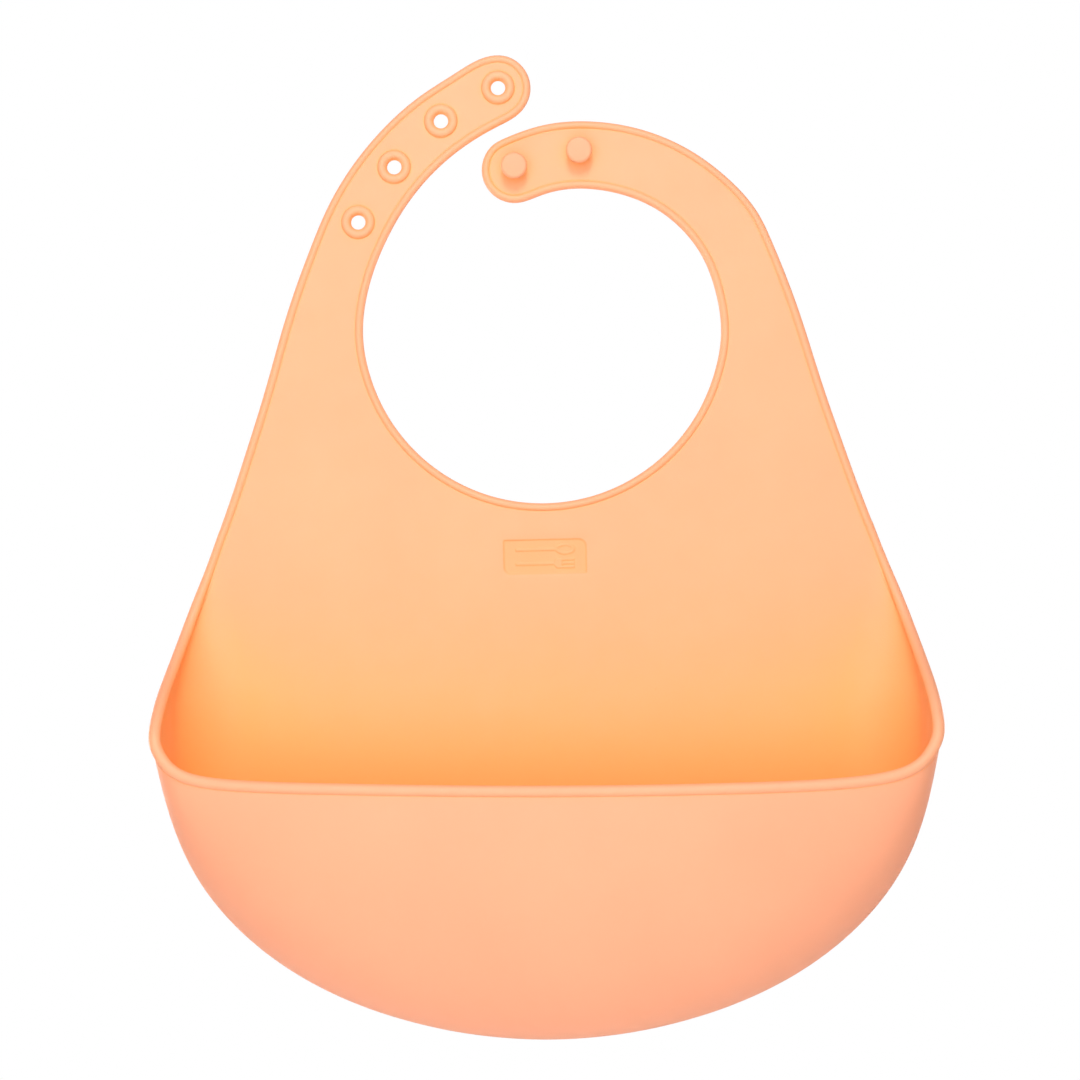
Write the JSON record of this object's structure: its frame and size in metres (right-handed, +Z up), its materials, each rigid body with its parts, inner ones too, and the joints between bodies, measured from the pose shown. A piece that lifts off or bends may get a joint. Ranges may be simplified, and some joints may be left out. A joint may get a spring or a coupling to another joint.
{
  "type": "silicone bib",
  "caption": "Soft moulded bib with a round neck opening, two curved snap-together neck straps and a deep catch-all pocket across the bottom.",
  "frame": {"origin": "centre of the neck opening, on the mid-plane of the sheet", "axes": "+Z up as worn, +Y through the neck opening towards the wearer, X across the bib with the holed strap on -X"},
  "size_m": [0.2196, 0.0524, 0.2868],
  "materials": {
    "silicone_sheet": "matt moulded silicone",
    "silicone_bead": "matt moulded silicone, rounded edge",
    "silicone_fastening": "matt moulded silicone",
    "silicone_label": "finely textured recess"
  },
  "bodies": {
    "chest": {"chest_sheet": "silicone_sheet", "arm_bead_left": "silicone_bead", "arm_bead_right": "silicone_bead", "neckline_bead": "silicone_bead"},
    "hole_strap_root_zone": {"hole_strap_root": "silicone_sheet", "hole_strap_root_outer_bead": "silicone_bead", "hole_strap_root_inner_bead": "silicone_bead", "eyelet_4": "silicone_fastening"},
    "hole_strap_middle_zone": {"hole_strap_middle": "silicone_sheet", "hole_strap_middle_outer_bead": "silicone_bead", "hole_strap_middle_inner_bead": "silicone_bead", "eyelet_3": "silicone_fastening", "eyelet_2": "silicone_fastening"},
    "hole_strap_tip_zone": {"hole_strap_tip": "silicone_sheet", "hole_strap_tip_bead": "silicone_bead", "eyelet_1": "silicone_fastening"},
    "stud_strap_root_zone": {"stud_strap_root": "silicone_sheet", "stud_strap_root_inner_bead": "silicone_bead", "stud_strap_root_outer_bead": "silicone_bead"},
    "stud_strap_tip_zone": {"stud_strap_tip": "silicone_sheet", "stud_strap_tip_bead": "silicone_bead", "stud_1": "silicone_fastening", "stud_2": "silicone_fastening"},
    "pocket_back_zone": {"pocket_back": "silicone_sheet", "label_field": "silicone_label", "rim_bead_left": "silicone_bead", "rim_bead_right": "silicone_bead"},
    "pocket_front_zone": {"pocket_front": "silicone_sheet", "lip_bead": "silicone_bead"}
  },
  "joints": [
    {"name": "hole_strap_root_bend", "type": "hinge", "parent": "chest", "child": "hole_strap_root_zone", "pos_m": [-0.06135, 0, 0.00979], "axis": [-0.9781, 0, 0.2079], "range_deg": [-10, 30], "stiffness_Nm_per_rad": 0.03},
    {"name": "hole_strap_middle_bend", "type": "hinge", "parent": "hole_strap_root_zone", "child": "hole_strap_middle_zone", "pos_m": [-0.04874, 0, 0.03951], "axis": [-0.829, 0, 0.5592], "range_deg": [-10, 30], "stiffness_Nm_per_rad": 0.03},
    {"name": "hole_strap_tip_bend", "type": "hinge", "parent": "hole_strap_middle_zone", "child": "hole_strap_tip_zone", "pos_m": [-0.02064, 0, 0.06561], "axis": [-0.497, 0, 0.8678], "range_deg": [-10, 30], "stiffness_Nm_per_rad": 0.03},
    {"name": "stud_strap_root_bend", "type": "hinge", "parent": "chest", "child": "stud_strap_root_zone", "pos_m": [0.05877, 0, 0.02014], "axis": [-0.9063, 0, -0.4226], "range_deg": [-10, 30], "stiffness_Nm_per_rad": 0.03},
    {"name": "stud_strap_tip_bend", "type": "hinge", "parent": "stud_strap_root_zone", "child": "stud_strap_tip_zone", "pos_m": [0.03273, 0, 0.04528], "axis": [-0.3907, 0, -0.9205], "range_deg": [-10, 30], "stiffness_Nm_per_rad": 0.03},
    {"name": "chest_fold", "type": "hinge", "parent": "chest", "child": "pocket_back_zone", "pos_m": [0, 0, -0.0595], "axis": [1, 0, 0], "range_deg": [-30, 40], "stiffness_Nm_per_rad": 0.2},
    {"name": "pocket_flex", "type": "hinge", "parent": "pocket_back_zone", "child": "pocket_front_zone", "pos_m": [0, -0.0135, -0.2071], "axis": [1, 0, 0], "range_deg": [0, 12], "stiffness_Nm_per_rad": 0.5}
  ],
  "couplings": [
    {"joint": "hole_strap_middle_bend", "follows": "hole_strap_root_bend", "ratio": 1},
    {"joint": "hole_strap_tip_bend", "follows": "hole_strap_root_bend", "ratio": 1},
    {"joint": "stud_strap_tip_bend", "follows": "stud_strap_root_bend", "ratio": 1}
  ]
}
